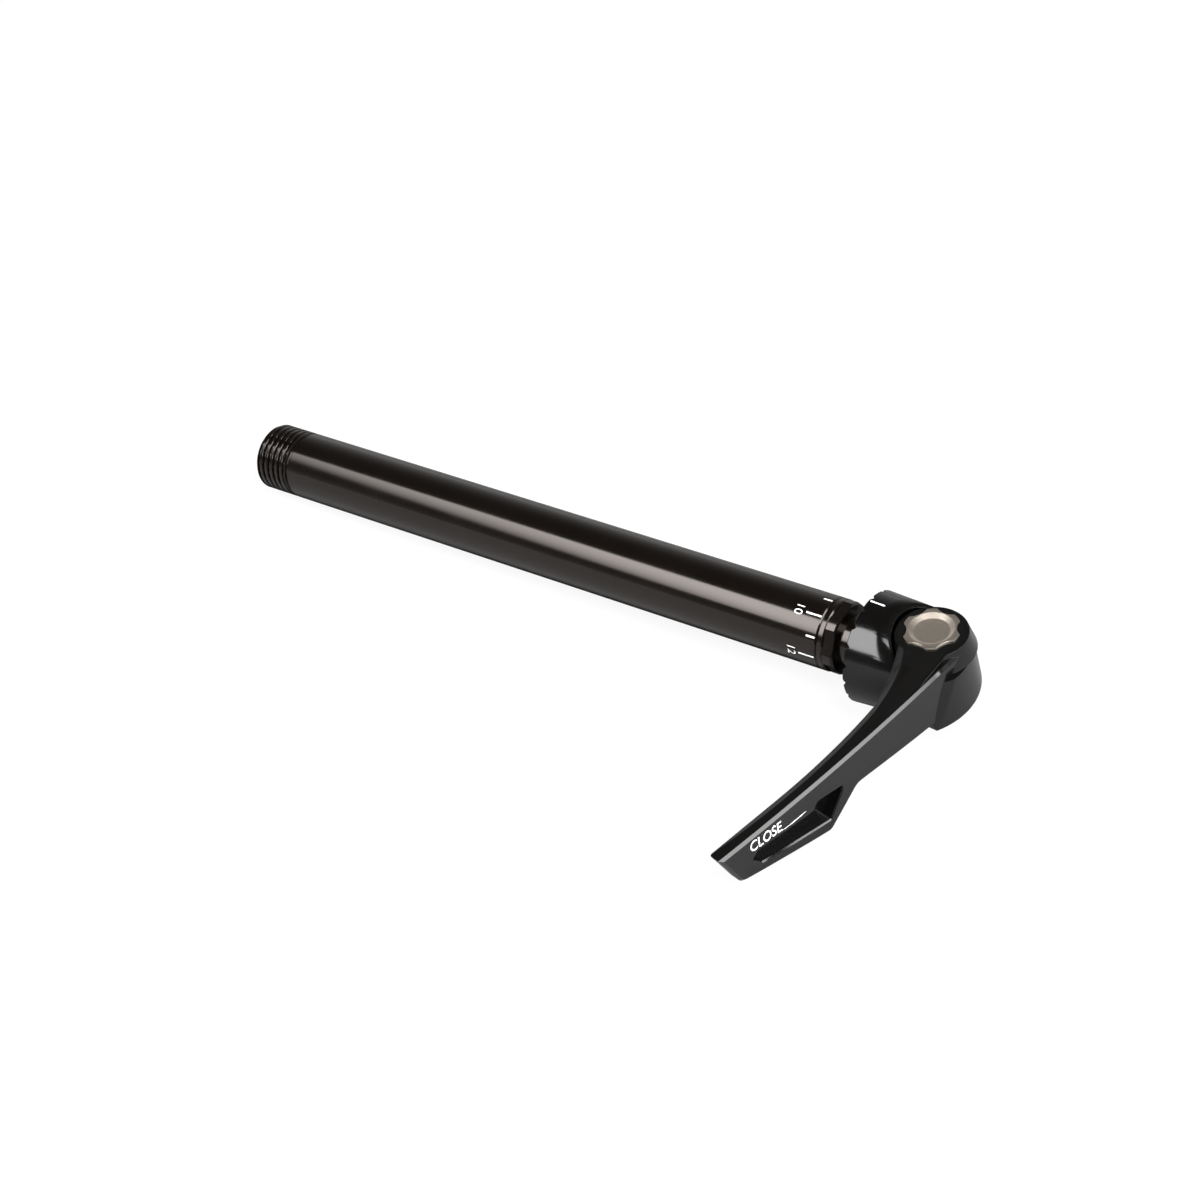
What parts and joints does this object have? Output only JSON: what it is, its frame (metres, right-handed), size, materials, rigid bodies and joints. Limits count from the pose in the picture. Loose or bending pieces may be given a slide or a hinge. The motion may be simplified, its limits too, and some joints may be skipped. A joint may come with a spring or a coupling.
{
  "type": "bicycle thru axle",
  "caption": "Hollow bicycle thru axle with a threaded end, an index collar, a toothed clamping flange and a folding cam lever that draws the flange towards the hub.",
  "frame": {"origin": "centre of the flange's clamping face, on the axle's centre line", "axes": "+X along the axle from the threaded end to the lever end; +Z along the lever's pivot, on the star head's side; the closed lever points to -Y"},
  "size_m": [0.1812, 0.0769, 0.023],
  "materials": {
    "black_anodised": "satin black anodised, turned",
    "gloss_black": "gloss black anodised, turned",
    "satin_black": "satin black anodised over a blasted forging",
    "silver_star": "satin silver, turned",
    "bare_steel": "bare turned steel"
  },
  "bodies": {
    "axle": {"axle_tube": "black_anodised", "index_collar": "black_anodised", "draw_rod": "bare_steel", "rod_nut": "bare_steel"},
    "clamp_head": {"flange_cup": "gloss_black", "cam_housing": "satin_black"},
    "lever_arm": {"lever": "satin_black", "cam_shaft": "silver_star", "shaft_clip": "bare_steel"}
  },
  "joints": [
    {"name": "head_slide", "type": "slide", "parent": "axle", "child": "clamp_head", "axis": [1, 0, 0], "range_m": [0, 0.00144]},
    {"name": "lever_pivot", "type": "hinge", "parent": "clamp_head", "child": "lever_arm", "pos_m": [0.0142, 0, 0], "axis": [0, 0, 1], "range_deg": [0, 155]}
  ],
  "couplings": [
    {"joint": "head_slide", "follows": "lever_pivot", "m_per_rad": 0.0005286}
  ]
}
